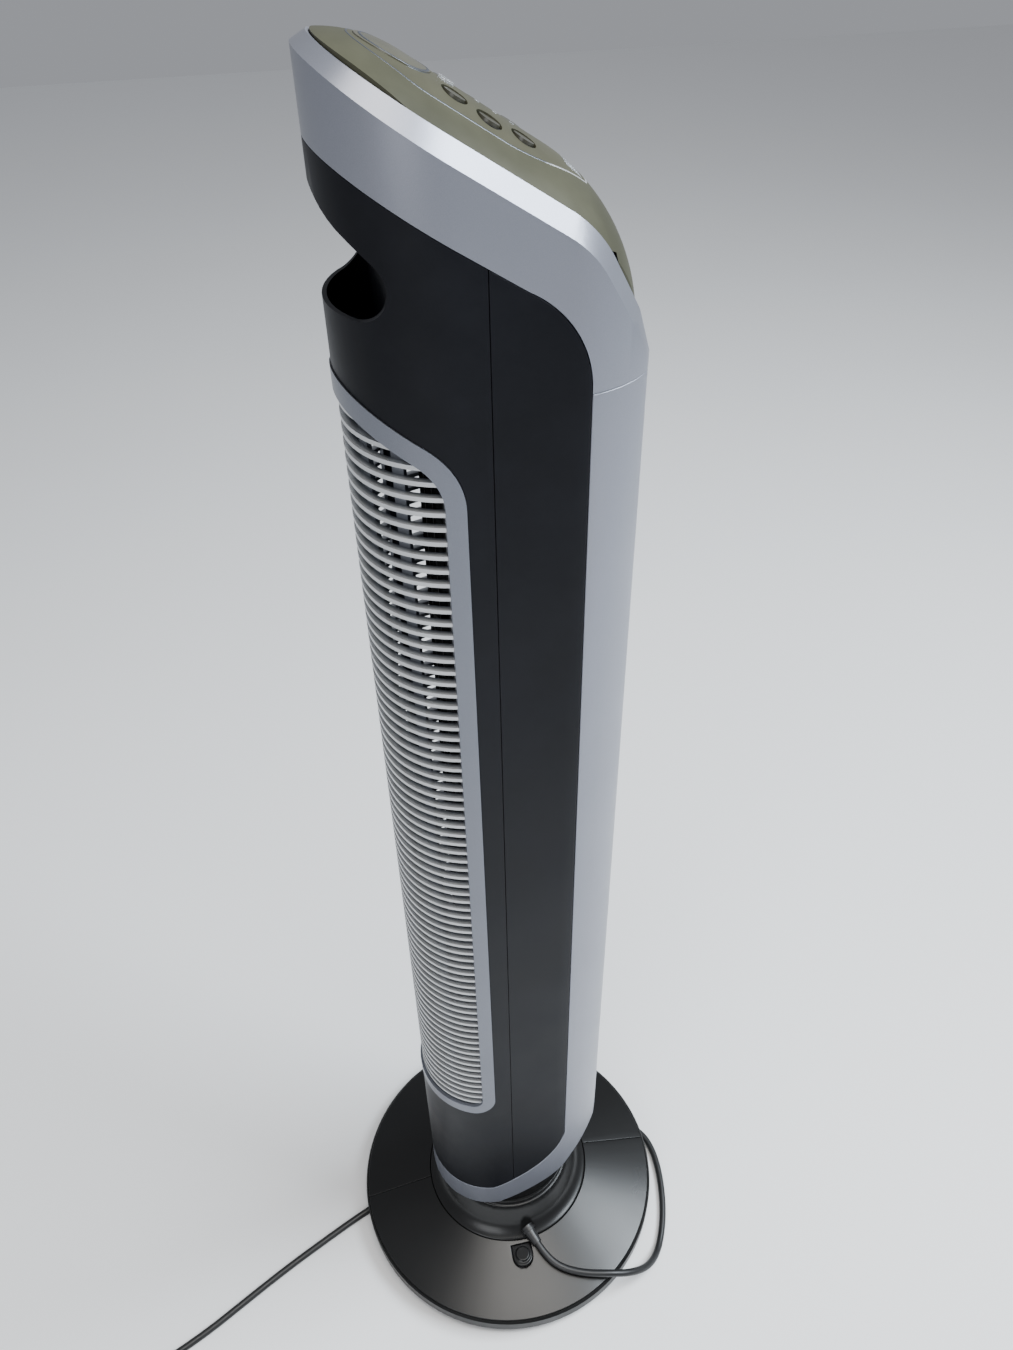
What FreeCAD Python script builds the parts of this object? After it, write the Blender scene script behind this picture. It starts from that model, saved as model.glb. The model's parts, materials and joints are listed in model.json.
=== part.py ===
"""Tower fan: a swinging column with a cross-flow blower on a round two-part base.

Units are millimetres. +Z is up, the front of the fan faces -Y, and the origin is the centre
of the base on the floor. The column swings about the Z axis.
"""
import FreeCAD
import Part
import math
import os
import re
import Sketcher
from FreeCAD import Placement, Rotation, Vector

doc = FreeCAD.newDocument("TowerFan")
sheet = doc.addObject("Spreadsheet::Sheet", "sizes")

DIMENSIONS = {
    # column plan
    "column_radius": 59.6, "rear_centre": 18.0, "front_centre": -35.0, "nose_front": -89.0,
    "corner_turn": 41.0, "wall": 2.4, "seam_gap": 0.4,
    # column heights
    "column_foot": 85.0, "column_top": 1125.0, "band_rear": 118.0, "collar_seam": 958.5,
    "strip_edge": -46.0, "panel_seam": 5.0, "tilt": 32.5, "boundary_height": 1021.3,
    "crown_height": 1081.0,
    "bevel_inset": 8.8, "gap_height": 1066.3, "rim_bend": 1016.0, "crown_radius": 97.4,
    "crown_rear": 35.6, "crown_front": -42.7, "crown_rear_round": 70.0, "crown_nose_round": 95.0,
    "front_opening": 34.0, "outlet_foot": 262.0, "duct_floor_height": 257.0,
    # rear intake
    "intake_foot": 270.0, "intake_side": 19.8, "intake_corner": 22.0, "intake_rim": 11.0,
    "intake_height": 912.5, "intake_bend": 42.0,
    "slat_pitch": 9.0, "slat_thickness": 2.6, "slat_depth": 4.2, "slat_count": 74.0,
    "louvre_count": 76.0,
    "rib_width": 7.0, "rib_depth": 3.0,
    # handle
    "grip_floor": 974.0, "grip_lip": 998.0, "grip_end": 50.4,
    # base
    "base_radius": 155.0, "base_clearance": 9.0, "rim_top": 26.0, "cover_radius": 152.5,
    "cover_edge": 27.0, "cover_shoulder": 44.0, "neck_foot_radius": 84.0, "neck_radius": 61.0,
    "neck_top": 80.0, "base_wall": 2.6,
    # blower and motor
    "blower_y": -6.0, "blower_radius": 43.0, "blower_foot": 300.0, "blower_top": 928.0,
    "blade_count": 30.0, "disc_count": 6.0, "shaft_radius": 4.0, "motor_radius": 36.0,
    "motor_foot": 192.0, "motor_height": 58.0, "running_gap": 0.05,
    # swing drive
    "crank_offset": 30.0, "crank_throw": 19.4, "crank_pin_radius": 2.5, "post_radius": 15.0,
    "slot_half_width": 4.4, "drum_radius": 59.4, "drum_wall": 4.0, "drum_floor": 98.0,
    # buttons
    "button_radius": 5.4, "button_gap": 0.4, "button_depth": 7.0, "button_proud": 0.3,
    # cord
    "cord_radius": 3.5, "coil_radius": 38.5, "coil_x": -160.0, "coil_y": 412.0,
}

for row, (alias, number) in enumerate(DIMENSIONS.items(), start=1):
    sheet.set("A%d" % row, alias)
    sheet.set("B%d" % row, str(number))
    sheet.setAlias("B%d" % row, alias)
doc.recompute()

HUGE = 400.0
PARTS = []


def size(expression):
    """Value of an expression written with the sheet's names."""
    result = sheet.evalExpression(linked(str(expression)))
    return float(getattr(result, "Value", result))


def linked(expression):
    """The same expression with each name pointing at its cell."""
    return re.sub(r"[a-z_]+[a-z]", lambda word: "sizes." + word.group(0)
                  if word.group(0) in DIMENSIONS else word.group(0), expression)


def bind(thing, prop, expression):
    """Tie a property to the sheet, or set it when it is a plain number."""
    if isinstance(expression, str):
        thing.setExpression(prop, linked(expression))
    else:
        thing.setExpression(prop, str(expression))


def place(thing, x=0, y=0, z=0):
    for axis, value in (("x", x), ("y", y), ("z", z)):
        bind(thing, "Placement.Base." + axis, value)
    return thing


def cylinder(name, radius, height, x=0, y=0, z=0, axis=None):
    """Upright cylinder, or one along the given direction."""
    thing = doc.addObject("Part::Cylinder", name)
    bind(thing, "Radius", radius)
    bind(thing, "Height", height)
    if axis is not None:
        thing.Placement = Placement(Vector(0, 0, 0), Rotation(Vector(0, 0, 1), Vector(*axis)))
    return place(thing, x, y, z)


def cone(name, radius_low, radius_high, height, x=0, y=0, z=0, axis=None):
    thing = doc.addObject("Part::Cone", name)
    bind(thing, "Radius1", radius_low)
    bind(thing, "Radius2", radius_high)
    bind(thing, "Height", height)
    if axis is not None:
        thing.Placement = Placement(Vector(0, 0, 0), Rotation(Vector(0, 0, 1), Vector(*axis)))
    return place(thing, x, y, z)


def box(name, length, width, height, x=0, y=0, z=0):
    """Box centred on x and y, standing on z."""
    thing = doc.addObject("Part::Box", name)
    for prop, value in (("Length", length), ("Width", width), ("Height", height)):
        bind(thing, prop, value)
    return place(thing, "(%s) - (%s) / 2" % (x, length), "(%s) - (%s) / 2" % (y, width), z)


def combine(kind, name, things):
    """MultiFuse or MultiCommon of several objects."""
    result = doc.addObject("Part::Multi" + kind, name)
    result.Shapes = things
    return result


def fuse(name, *things):
    return combine("Fuse", name, list(things))


def common(name, *things):
    return combine("Common", name, list(things))


def cut(name, base, *tools):
    result = doc.addObject("Part::Cut", name)
    result.Base = base
    result.Tool = tools[0] if len(tools) == 1 else fuse(name + "_tools", *tools)
    return result


def group(name, *things):
    """Identical loose pieces kept together as one node of separate solids."""
    result = doc.addObject("Part::Compound", name)
    result.Links = list(things)
    return result


def part(label, thing):
    """Give a finished sub-part its own name."""
    thing.Label = label
    PARTS.append((label, thing))
    return thing


def arc_middle(start, end, radius):
    """Middle point of the arc from start to end; a positive radius bulges to the left."""
    chord = Vector(end[0] - start[0], end[1] - start[1], 0)
    half = chord.Length / 2
    rise = abs(radius) - math.sqrt(max(radius * radius - half * half, 0.0))
    side = Vector(-chord.y, chord.x, 0).normalize() * math.copysign(rise, radius)
    return Vector((start[0] + end[0]) / 2, (start[1] + end[1]) / 2, 0) + side


def draw(sketch, corners):
    """Closed outline. A corner is (u, v) after a line, or (u, v, radius) after an arc."""
    where = [(size(corner[0]), size(corner[1])) for corner in corners]
    ends_of = []
    for index, corner in enumerate(corners):
        start = where[index - 1]
        end = where[index]
        first = Vector(start[0], start[1], 0)
        last = Vector(end[0], end[1], 0)
        if len(corner) == 3:
            middle = arc_middle(start, end, size(corner[2]))
            arc = Part.Arc(first, middle, last)
            edge = sketch.addGeometry(arc, False)
            ends = (1, 2) if (sketch.getPoint(edge, 2) - last).Length < 1e-6 else (2, 1)
        else:
            edge = sketch.addGeometry(Part.LineSegment(first, last), False)
            ends = (1, 2)
        ends_of.append(ends)
    for edge, ends in enumerate(ends_of):
        follower = (edge + 1) % len(corners)
        sketch.addConstraint(Sketcher.Constraint(
            "Coincident", edge, ends[1], follower, ends_of[follower][0]))
    for edge, corner in enumerate(corners):
        point = ends_of[edge][1]
        for kind, value in (("DistanceX", corner[0]), ("DistanceY", corner[1])):
            number = sketch.addConstraint(Sketcher.Constraint(kind, -1, 1, edge, point, size(value)))
            if isinstance(value, str):
                sketch.setExpression("Constraints[%d]" % number, linked(value))
        if len(corner) == 3:
            radius = corner[2]
            number = sketch.addConstraint(Sketcher.Constraint("Radius", edge, abs(size(radius))))
            if isinstance(radius, str):
                sketch.setExpression("Constraints[%d]" % number, "abs(%s)" % linked(radius))


def plane_of(body, role):
    return [item for item in body.Origin.OriginFeatures if item.Role == role][0]


def sketch_on(body, name, role, corners):
    sketch = body.newObject("Sketcher::SketchObject", name)
    sketch.AttachmentSupport = [(plane_of(body, role), "")]
    sketch.MapMode = "FlatFace"
    draw(sketch, corners)
    return sketch


def padded(name, role, corners, height, lift=0, both_ways=False):
    """Body padded from one outline on a plane of its own origin."""
    body = doc.addObject("PartDesign::Body", name)
    sketch = sketch_on(body, name + "_outline", role, corners)
    pad = body.newObject("PartDesign::Pad", name + "_pad")
    pad.Profile = sketch
    bind(pad, "Length", height)
    pad.Midplane = both_ways
    body.Tip = pad
    bind(body, "Placement.Base.z", lift)
    return body


def turned(name, corners):
    """Body turned about Z from an outline of (radius, height) corners."""
    body = doc.addObject("PartDesign::Body", name)
    sketch = sketch_on(body, name + "_outline", "XZ_Plane", corners)
    turn = body.newObject("PartDesign::Revolution", name + "_turn")
    turn.Profile = sketch
    turn.ReferenceAxis = (sketch, ["V_Axis"])
    turn.Angle = 360.0
    body.Tip = turn
    return body


def side_slab(name, corners, width=HUGE):
    """Slab with a side-view outline of (y, z) corners, centred on X."""
    return padded(name, "YZ_Plane", corners, width, both_ways=True)


# ---- outlines shared by the column's shells ---------------------------------------------

def plan(inset="0", front="0"):
    """Column plan: half-round rear, straight flanks, rounded corners and a shallow nose."""
    radius = "(column_radius - (%s))" % inset
    corner_x = "(%s) * sin(corner_turn)" % radius
    corner_y = "front_centre - (%s) * cos(corner_turn)" % radius
    nose_rise = "(%s - (nose_front + (%s)))" % (corner_y, front)
    nose_radius = "((%s) ^ 2 + (%s) ^ 2) / (2 * (%s))" % (corner_x, nose_rise, nose_rise)
    return [
        (radius, "rear_centre"), ("0", "rear_centre + " + radius, "-" + radius),
        ("-" + radius, "rear_centre", "-" + radius),
        ("-" + radius, "front_centre"), ("-" + corner_x, corner_y, "-" + radius),
        (corner_x, corner_y, "-" + nose_radius), (radius, "front_centre", "-" + radius),
    ]


def plan_prism(name, inset="0", foot="column_foot", top="column_top", front=None):
    return padded(name, "XY_Plane", plan(inset, inset if front is None else front),
                  "(%s) - (%s)" % (top, foot), lift=foot)


def slope(reference, y):
    """Height of a line tilted down to the front that passes (0, reference)."""
    return "%s + (%s) * tan(tilt)" % (reference, y)


def window(gap="0"):
    """Side-view outline of the black flank that the silver frame goes round."""
    edge = "strip_edge + (%s)" % gap
    foot = "band_rear + (%s)" % gap
    return [
        ("110", foot), ("110", slope("boundary_height - (%s)" % gap, "110")),
        ("-14", slope("boundary_height - (%s)" % gap, "-14")), (edge, "collar_seam", "-58"),
        (edge, "200"), ("25", foot, "-110"),
    ]


def under_curve(lift="0"):
    """Side-view outline of everything below the column: flat, then swept up to the nose."""
    return [
        ("110", "0"), ("110", "column_foot + (%s)" % lift), ("20", "column_foot + (%s)" % lift),
        ("-54", "148.5 + (%s)" % lift, "125"), ("-77", "184 + (%s)" % lift),
        ("-92", "245 + (%s)" % lift, "90"), ("-120", "245 + (%s)" % lift), ("-120", "0"),
    ]


def above(drop="0"):
    """Side-view outline of everything above the collar's rim, which steepens at the front."""
    rim = "gap_height - (%s)" % drop
    bend = "-60 + (%s) * 0.5" % drop
    return [
        ("110", slope(rim, "110")), ("110", "column_top + 40"), ("-130", "column_top + 40"),
        ("-130", "rim_bend - (%s) * 0.7 - (130 - 60 + (%s) * 0.5) * tan(60)" % (drop, drop)),
        (bend, "rim_bend - (%s) * 0.7" % drop), ("-37", slope(rim, "-37"), "74"),
    ]


def panel_plan(gap="0"):
    """Plan of the control panel: the column's plan set in, running out at the front."""
    radius = "(column_radius - bevel_inset - 0.5 + (%s))" % gap
    half = "(front_opening - 0.5 + (%s))" % gap
    meet = "front_centre - sqrt((%s) ^ 2 - (%s) ^ 2)" % (radius, half)
    return [
        (radius, "rear_centre"), ("0", "rear_centre + " + radius, "-" + radius),
        ("-" + radius, "rear_centre", "-" + radius),
        ("-" + radius, "front_centre"), ("-" + half, meet, "-" + radius), ("-" + half, "-140"),
        (half, "-140"), (half, meet), (radius, "front_centre", "-" + radius),
    ]


def intake_outline(margin):
    """Side-view outline of the rear intake, set in by a margin."""
    side = "intake_side + (%s)" % margin
    foot = "intake_foot + (%s)" % margin
    lean = "intake_height - (%s) / cos(tilt)" % margin
    bend = "(intake_bend - (%s))" % margin
    setback = bend + " * tan((90 - tilt) / 2)"
    shoulder = "%s + %s * cos(tilt)" % (side, setback)
    corner = "(intake_corner - (%s))" % margin
    return [
        ("110", foot), ("110", slope(lean, "110")), (shoulder, slope(lean, shoulder)),
        (side, "%s - %s" % (slope(lean, side), setback), "-" + bend),
        (side, "%s + %s" % (foot, corner)), ("%s + %s" % (side, corner), foot, "-" + corner),
    ]


# Points that the mains cord turns at, from the strain relief to the coil, and on to the plug.
CORD_ROUTE = [
    (-92, -12, 46.5), (-106, -18.5, 43.5), (-118.5, -32, 40.2), (-127, -53, 38), (-132, -76, 37.2),
    (-134.5, -99, 31.5), (-128, -121, 17.5), (-111, -138, 4.4), (-87, -151, 3.6), (-60, -160, 3.6),
    (-31, -165.5, 3.6), (-6, -166, 3.6), (14, -160, 3.6), (29, -145, 3.6), (36, -122, 3.6),
    (38, -88, 3.6), (36, -32, 3.6), (30, 26, 3.6), (20, 80, 3.6), (8, 124, 3.6), (-5, 161, 3.6),
    (-23, 201, 3.6), (-44, 246, 3.6), (-66, 288, 3.6), (-89, 331, 3.6), (-110.5, 384, 3.6),
    (-123.4, 424, 5.6)]
TAIL_ROUTE = [(-198.5, 412, 7), (-199, 392, 6), (-194, 372, 4.6), (-186, 353, 4.4)]


# ---- base -------------------------------------------------------------------------------

def base_parts():
    cover = turned("cover_ring", [
        ("neck_foot_radius", "cover_shoulder"), ("cover_radius", "cover_edge"),
        ("cover_radius", "cover_edge - base_wall"),
        ("neck_foot_radius", "cover_shoulder - base_wall")])
    gap = "seam_gap"
    left = box("left_side", 200, 400, 60, x="-100 - (%s) / 2" % gap, y=0, z=0)
    right = box("right_side", 200, 400, 60, x="100 + (%s) / 2" % gap, y=0, z=0)
    slot = fuse("latch_slot", box("latch_slot_run", 11.2, 20.6, 30, x="-neck_foot_radius - 9.2",
                                  y=5, z=30),
                cylinder("latch_slot_end", 10.3, 30, x="-neck_foot_radius - 14.8", y=5, z=30))
    left_cover = part("base_cover_left", cut("cover_left", common("cover_left_raw", cover, left), slot))
    part("base_cover_right", common("cover_right", cover, right))
    part("base_tray", turned("tray", [
        (20, "base_clearance"), ("base_radius - 2", "base_clearance"),
        ("base_radius", "base_clearance + 2"), ("base_radius", "rim_top - 2"),
        ("base_radius - 1.6", "rim_top"), ("cover_radius + 0.3", "rim_top"),
        ("cover_radius + 0.3", "cover_edge - base_wall"),
        ("base_radius - 6", "cover_edge - base_wall"), ("base_radius - 4", "rim_top - 5"),
        ("base_radius - 4", "base_clearance + base_wall"), (20, "base_clearance + base_wall")]))
    part("base_weight", turned("weight", [
        (92, "base_clearance + base_wall"), (142, "base_clearance + base_wall"),
        (142, "base_clearance + base_wall + 9"), (92, "base_clearance + base_wall + 9")]))
    neck = part("neck", turned("neck_flare", [
        ("neck_radius - 5", "neck_top"), ("neck_radius - 5", "neck_top - 22"),
        (64, 50), ("neck_foot_radius - 3", 38), ("neck_foot_radius - 3", "base_clearance + base_wall"),
        ("neck_foot_radius + 3", "base_clearance + base_wall"),
        ("neck_foot_radius + 3", "cover_shoulder - base_wall - 1.2"),
        ("neck_foot_radius - 0.4", "cover_shoulder - base_wall - 0.4"),
        ("neck_foot_radius - 0.4", "cover_shoulder"), (70, 57, 22), ("neck_radius + 2", 70),
        ("neck_radius + 2", "neck_top - 6"), ("neck_radius", "neck_top - 6"),
        ("neck_radius", "neck_top")]))
    feet = [cylinder("foot_%d" % n, 9, "base_clearance", x="136 * cos(%d)" % (60 * n + 15),
                     y="136 * sin(%d)" % (60 * n + 15)) for n in range(6)]
    part("rubber_feet", group("feet", *feet))
    screws = []
    for n in range(4):
        x = "70 * cos(%d)" % (90 * n + 45)
        y = "70 * sin(%d)" % (90 * n + 45)
        head = cylinder("base_screw_head_%d" % n, 4, 2.2, x=x, y=y, z="base_clearance - 2.2")
        shank = cylinder("base_screw_shank_%d" % n, 1.8, 16, x=x, y=y, z="base_clearance - 0.1")
        screws.append(fuse("base_screw_%d" % n, head, shank))
    part("base_screws", group("base_screw_set", *screws))
    return neck, left_cover


def latch_and_gland(neck, cover):
    """Push tab that frees the column, and the strain relief beside it."""
    low = "cover_shoulder - 5"
    bar = box("tongue_bar", 11, 20, 4, x="-neck_foot_radius - 9.3", y=5, z=low)
    tip = cylinder("tongue_tip", 10, 4, x="-neck_foot_radius - 14.8", y=5, z=low)
    pad = cylinder("tongue_pad", 7, 2.4, x="-neck_foot_radius - 14", y=5, z=low + " + 3.9")
    tongue = part("latch_tongue", fuse("tongue", bar, tip, pad))
    tip = Vector(*CORD_ROUTE[0])
    along = (Vector(*CORD_ROUTE[1]) - tip).normalize()
    foot = tip - along * 19
    relief = cone("gland_body", 6.6, 4.8, 19, x=foot.x, y=foot.y, z=foot.z, axis=along)
    flange = foot + along * 3
    collar = cylinder("gland_collar", 7.6, 3, x=flange.x, y=flange.y, z=flange.z, axis=along)
    part("cord_grommet", cut("gland", fuse("gland_raw", relief, collar), neck, cover, tongue))


# ---- swing drive ------------------------------------------------------------------------

def swing_parts():
    foot = "base_clearance + base_wall"
    part("pivot_post", turned("post", [
        ("post_radius - 5", foot), (34, foot), (34, foot + " + 4"), ("post_radius", foot + " + 4"),
        ("post_radius", "drum_floor + 3.6"), ("post_radius - 1.5", "drum_floor + 3.6"),
        ("post_radius - 1.5", "drum_floor + 5.4"), ("post_radius", "drum_floor + 5.4"),
        ("post_radius", "drum_floor + 9"), ("post_radius - 5", "drum_floor + 9")]))
    near = "-crank_offset - 3.4"
    far = "-crank_offset - crank_throw - 0.4"
    slot = fuse("crank_slot_raw",
                box("crank_slot_run", "2 * slot_half_width", "crank_throw - 3", 20, x=0,
                    y="-crank_offset - crank_throw / 2 - 1.9", z=70),
                cylinder("crank_slot_rear", "slot_half_width", 20, y=near, z=70),
                cylinder("crank_slot_front", "slot_half_width", 20, y=far, z=70))
    disc = cylinder("swing_disc", "neck_radius - 5", 3, z="neck_top - 4")
    bore = cylinder("swing_disc_bore", "post_radius", 10, z="neck_top - 6")
    part("swing_plate", cut("swing_disc_cut", disc, slot, bore))
    ring = cylinder("washer_disc", "neck_radius - 0.6", 1.4, z="neck_top")
    hole = cylinder("washer_hole", "neck_radius - 4.4", 4, z="neck_top - 1")
    part("thrust_washer", cut("washer", ring, hole))
    clip = cylinder("clip_disc", "post_radius + 4", 1.4, z="drum_floor + 3.8")
    clip_hole = cylinder("clip_hole", "post_radius - 1.5", 3, z="drum_floor + 3")
    clip_gap = box("clip_gap", 10, 12, 3, x=0, y=17, z="drum_floor + 3")
    part("retaining_ring", cut("clip", clip, clip_hole, clip_gap))
    can = cylinder("swing_can", 17, 11, y="-crank_offset - 7", z="drum_floor - 11.4")
    socket = cylinder("swing_socket", "3 + running_gap", 6, y="-crank_offset", z="drum_floor - 11.6")
    ears = box("swing_ears", 48, 8, 1.6, x=0, y="-crank_offset - 7", z="drum_floor - 2")
    part("swing_motor", cut("swing_motor_bored", fuse("swing_motor_raw", can, ears), socket))
    hub = cylinder("crank_hub", 6.5, 3, y="-crank_offset", z="neck_top + 2.6")
    tip = cylinder("crank_tip", 4.6, 3, y="-crank_offset - crank_throw", z="neck_top + 2.6")
    bar = box("crank_bar", 9.2, "crank_throw", 3, x=0, y="-crank_offset - crank_throw / 2",
              z="neck_top + 2.6")
    shaft = cylinder("crank_shaft", 3, 9, y="-crank_offset", z="neck_top + 2.6")
    pin = cylinder("crank_pin", "crank_pin_radius", 6.8, y="-crank_offset - crank_throw",
                   z="neck_top - 3.8")
    part("crank_arm", fuse("crank", hub, tip, bar, shaft, pin))


def turntable():
    """Drum and floor that the column turns on, closed to the column's swept underside."""
    wall = cut("drum_wall_raw", cylinder("drum_outer", "drum_radius", 120, z="neck_top + 1.7"),
               cylinder("drum_inner", "drum_radius - drum_wall", 160, z=60))
    below = side_slab("below_for_drum", under_curve())
    plate = cylinder("drum_plate", "drum_radius - drum_wall", 3, z="drum_floor")
    bore = cylinder("drum_bore", "post_radius + running_gap", 20, z="drum_floor - 8")
    wire_hole = cylinder("drum_wire_hole", 3.2, 20, x=-30, y=24, z="drum_floor - 8")
    floor = cut("drum_floor_plate", plate, bore, wire_hole)
    part("turntable_drum", fuse("drum", common("drum_wall_cut", wall, below), floor))


# ---- column shells ----------------------------------------------------------------------

def shells():
    outer = plan_prism("column_outer")
    inner = plan_prism("column_inner", "wall", foot="column_foot - 5", top="column_top + 5")
    shell = cut("column_shell", outer, inner)
    below = side_slab("below_column", under_curve())
    opening = box("front_opening_block", "2 * front_opening", 80, 1000, x=0, y=-110, z="outlet_foot")
    flank_hole = side_slab("flank_hole", window("0"))
    top_off = box("above_seam", 300, 400, 300, x=0, y=0, z="collar_seam - seam_gap")
    part("front_frame", cut("frame", shell, below, opening, flank_hole, top_off))

    flank = side_slab("flank_fill", window("seam_gap"))
    fitted = common("black_shell", shell, flank)
    rear_half = box("rear_half", 300, 200, 1200, x=0, y="panel_seam + seam_gap / 2 + 100", z=0)
    front_left = box("front_left", 150, 200, 1200, x=-75, y="panel_seam - seam_gap / 2 - 100", z=0)
    front_right = box("front_right", 150, 200, 1200, x=75, y="panel_seam - seam_gap / 2 - 100", z=0)
    intake_hole = side_slab("intake_hole", intake_outline("-seam_gap"))
    rear_only = box("intake_reach", 300, 200, 1200, x=0, y="intake_side - 1 + 100", z=0)
    intake_cut = common("intake_cut", intake_hole, rear_only)
    grip = side_slab("grip_void", grip_outline("0"))
    rear = common("rear_shell", fitted, rear_half)
    part("rear_housing", cut("rear_housing_cut", rear, intake_cut, grip))
    part("left_side_panel", common("left_panel_cut", fitted, front_left))
    part("right_side_panel", common("right_panel_cut", fitted, front_right))

    liner_fill = side_slab("liner_fill", grip_outline("2.2", pocket=True))
    liner_void = side_slab("liner_void", grip_outline("0", pocket=True))
    liner_plan = plan_prism("liner_plan", "wall + 0.1", foot=940, top=1080)
    liner_reach = box("liner_reach", 300, 100, 1200, x=0, y=92, z=0)
    part("handle_liner", cut("liner", common("liner_raw", liner_fill, liner_plan, liner_reach),
                             liner_void))


def grip_outline(margin, pocket=False):
    """Side view of the hand hold: open to the rear, roof leaning down to a round end."""
    end = "grip_end - (%s)" % margin
    roof = "1062 + (%s)" % margin
    points = [
        ("110", "1066 + (%s)" % margin), ("79", "1066 + (%s)" % margin), ("69", roof + " - 24", 34),
        ("grip_end + 4 - (%s)" % margin, "1025 + (%s)" % margin), (end, "1015", -12)]
    if pocket:
        points += [(end, "grip_floor - (%s)" % margin), ("110", "grip_floor - (%s)" % margin)]
    else:
        points += [("grip_end + 13", "grip_lip", -16), ("110", "grip_lip")]
    return points


def collar_and_panel():
    outer = plan_prism("collar_outer", foot="collar_seam - 20")
    over_gap = side_slab("over_gap", above())
    blank = cut("collar_blank", outer, over_gap)
    doc.recompute()
    bevel = doc.addObject("Part::Chamfer", "collar_bevel")
    bevel.Base = blank
    bevel.Edges = [(number, size("bevel_inset"), size("bevel_inset"))
                   for number in rim_edges(blank.Shape)]
    lower = side_slab("below_collar", below_collar())
    inner = plan_prism("collar_inner", "wall", foot="collar_seam - 30")
    over_lip = side_slab("over_lip", above("12"))
    cheeks = box("collar_cheeks", "2 * front_opening + 2 * wall", 50, 400, x=0, y=-80, z=900)
    hollow = cut("collar_hollow", inner, over_lip, cheeks)
    opening = padded("panel_opening", "XY_Plane", panel_plan("0.5"), 300, lift="collar_seam - 40")
    part("top_collar", cut("collar", bevel, lower, hollow, opening))

    fill = padded("panel_fill", "XY_Plane", panel_plan("0"), 300, lift="collar_seam - 20")
    fill_plan = plan_prism("panel_fill_plan", "0.6", foot="collar_seam - 20")
    solid = common("panel_solid", fill, fill_plan, crown("crown_outer", "0"))
    core = padded("panel_core", "XY_Plane", panel_plan("-wall"), 300, lift="collar_seam - 20")
    core_plan = plan_prism("panel_core_plan", "wall + 0.6", foot="collar_seam - 20")
    core_solid = common("panel_core_solid", core, core_plan, crown("crown_inner", "wall"))
    foot = side_slab("below_panel", [
        ("110", "900"), ("110", slope("gap_height - 8", "110")), ("-60", slope("gap_height - 8", "-60")),
        ("-66", "collar_seam"), ("-130", "collar_seam"), ("-130", "900")])
    shell = cut("panel_shell", solid, core_solid, foot)
    wells = [panel_cylinder("well_%d" % n, "button_radius + 1.4", x, y, -12, 24)
             for n, (x, y) in enumerate(BUTTON_PLACES)]
    inlay = fascia_solid("fascia_well", "0.3", "1.0")
    part("control_panel", cut("panel", shell, inlay, *wells))


BUTTON_PLACES = [(-15, 9.5), (-19, -5), (-15, -21.5), (15, 9.5), (19, -5), (15, -21.5)]
LAMP_PLACES = [-3, -11, -19]
BUTTON_NAMES = ["power_button", "speed_button", "swing_button",
                "timer_button", "mode_button", "lamp_button"]


def rim_edges(shape):
    """Numbers of the edges where the collar's sloping top meets its upright wall."""
    found = []
    for number, edge in enumerate(shape.Edges, start=1):
        faces = shape.ancestorsOfType(edge, Part.Face)
        upright = [abs(face_normal(face, edge).z) < 0.05 for face in faces]
        box_of = edge.BoundBox
        if upright.count(True) == 1 and box_of.ZMax > size("collar_seam") and box_of.ZMin > 900:
            other = faces[upright.index(False)]
            if face_normal(other, edge).z > 0.1:
                found.append(number)
    return found


def face_normal(face, edge):
    middle = edge.valueAt((edge.FirstParameter + edge.LastParameter) / 2)
    u, v = face.Surface.parameter(middle)
    return face.normalAt(u, v)


def below_collar():
    """Side-view outline of everything under the silver collar."""
    return [
        ("110", "900"), ("110", slope("boundary_height", "110")), ("-14", slope("boundary_height", "-14")),
        ("strip_edge", "collar_seam", "-58"), ("-130", "collar_seam"), ("-130", "900")]


def crown(name, drop):
    """Cylinder with rounded ends whose top line is the panel's straight crown."""
    tilt = math.radians(size("tilt"))
    along = Vector(0, math.cos(tilt), math.sin(tilt))
    start = "(crown_front - crown_nose_round + (%s))" % drop
    finish = "(crown_rear + crown_rear_round - (%s))" % drop
    roller = doc.addObject("Part::Cylinder", name + "_roller")
    bind(roller, "Radius", "crown_radius - (%s)" % drop)
    bind(roller, "Height", "%s - %s" % (finish, start))
    roller.Placement = Placement(Vector(0, 0, 0), Rotation(Vector(0, 0, 1), along))
    place(roller, 0, "crown_radius * sin(tilt) + %s * cos(tilt)" % start,
          "crown_height - crown_radius * cos(tilt) + %s * sin(tilt)" % start)
    doc.recompute()
    rounded = doc.addObject("Part::Fillet", name)
    rounded.Base = roller
    rounds = []
    for number, edge in enumerate(roller.Shape.Edges, start=1):
        if edge.isClosed():
            at_nose = edge.CenterOfMass.y < roller.Shape.CenterOfMass.y
            end = "crown_nose_round" if at_nose else "crown_rear_round"
            radius = size("%s - (%s)" % (end, drop))
            rounds.append((number, radius, radius))
    rounded.Edges = rounds
    return rounded


def panel_height(x, y):
    """Height of the panel's straight stretch over a point of the plan."""
    sag = "(crown_radius - sqrt(crown_radius ^ 2 - (%s) ^ 2)) / cos(tilt)" % x
    return "crown_height + (%s) * tan(tilt) - %s" % (y, sag)


def panel_cylinder(name, radius, x, y, start, length):
    """Cylinder square to the panel's slope, from a depth measured off its surface."""
    tilt = math.radians(size("tilt"))
    thing = doc.addObject("Part::Cylinder", name)
    bind(thing, "Radius", radius)
    bind(thing, "Height", length)
    normal = Vector(0, -math.sin(tilt), math.cos(tilt))
    thing.Placement = Placement(Vector(0, 0, 0), Rotation(Vector(0, 0, 1), normal))
    return place(thing, x, "(%s) - (%s) * sin(tilt)" % (y, start),
                 "%s + (%s) * cos(tilt)" % (panel_height(x, y), start))


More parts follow.
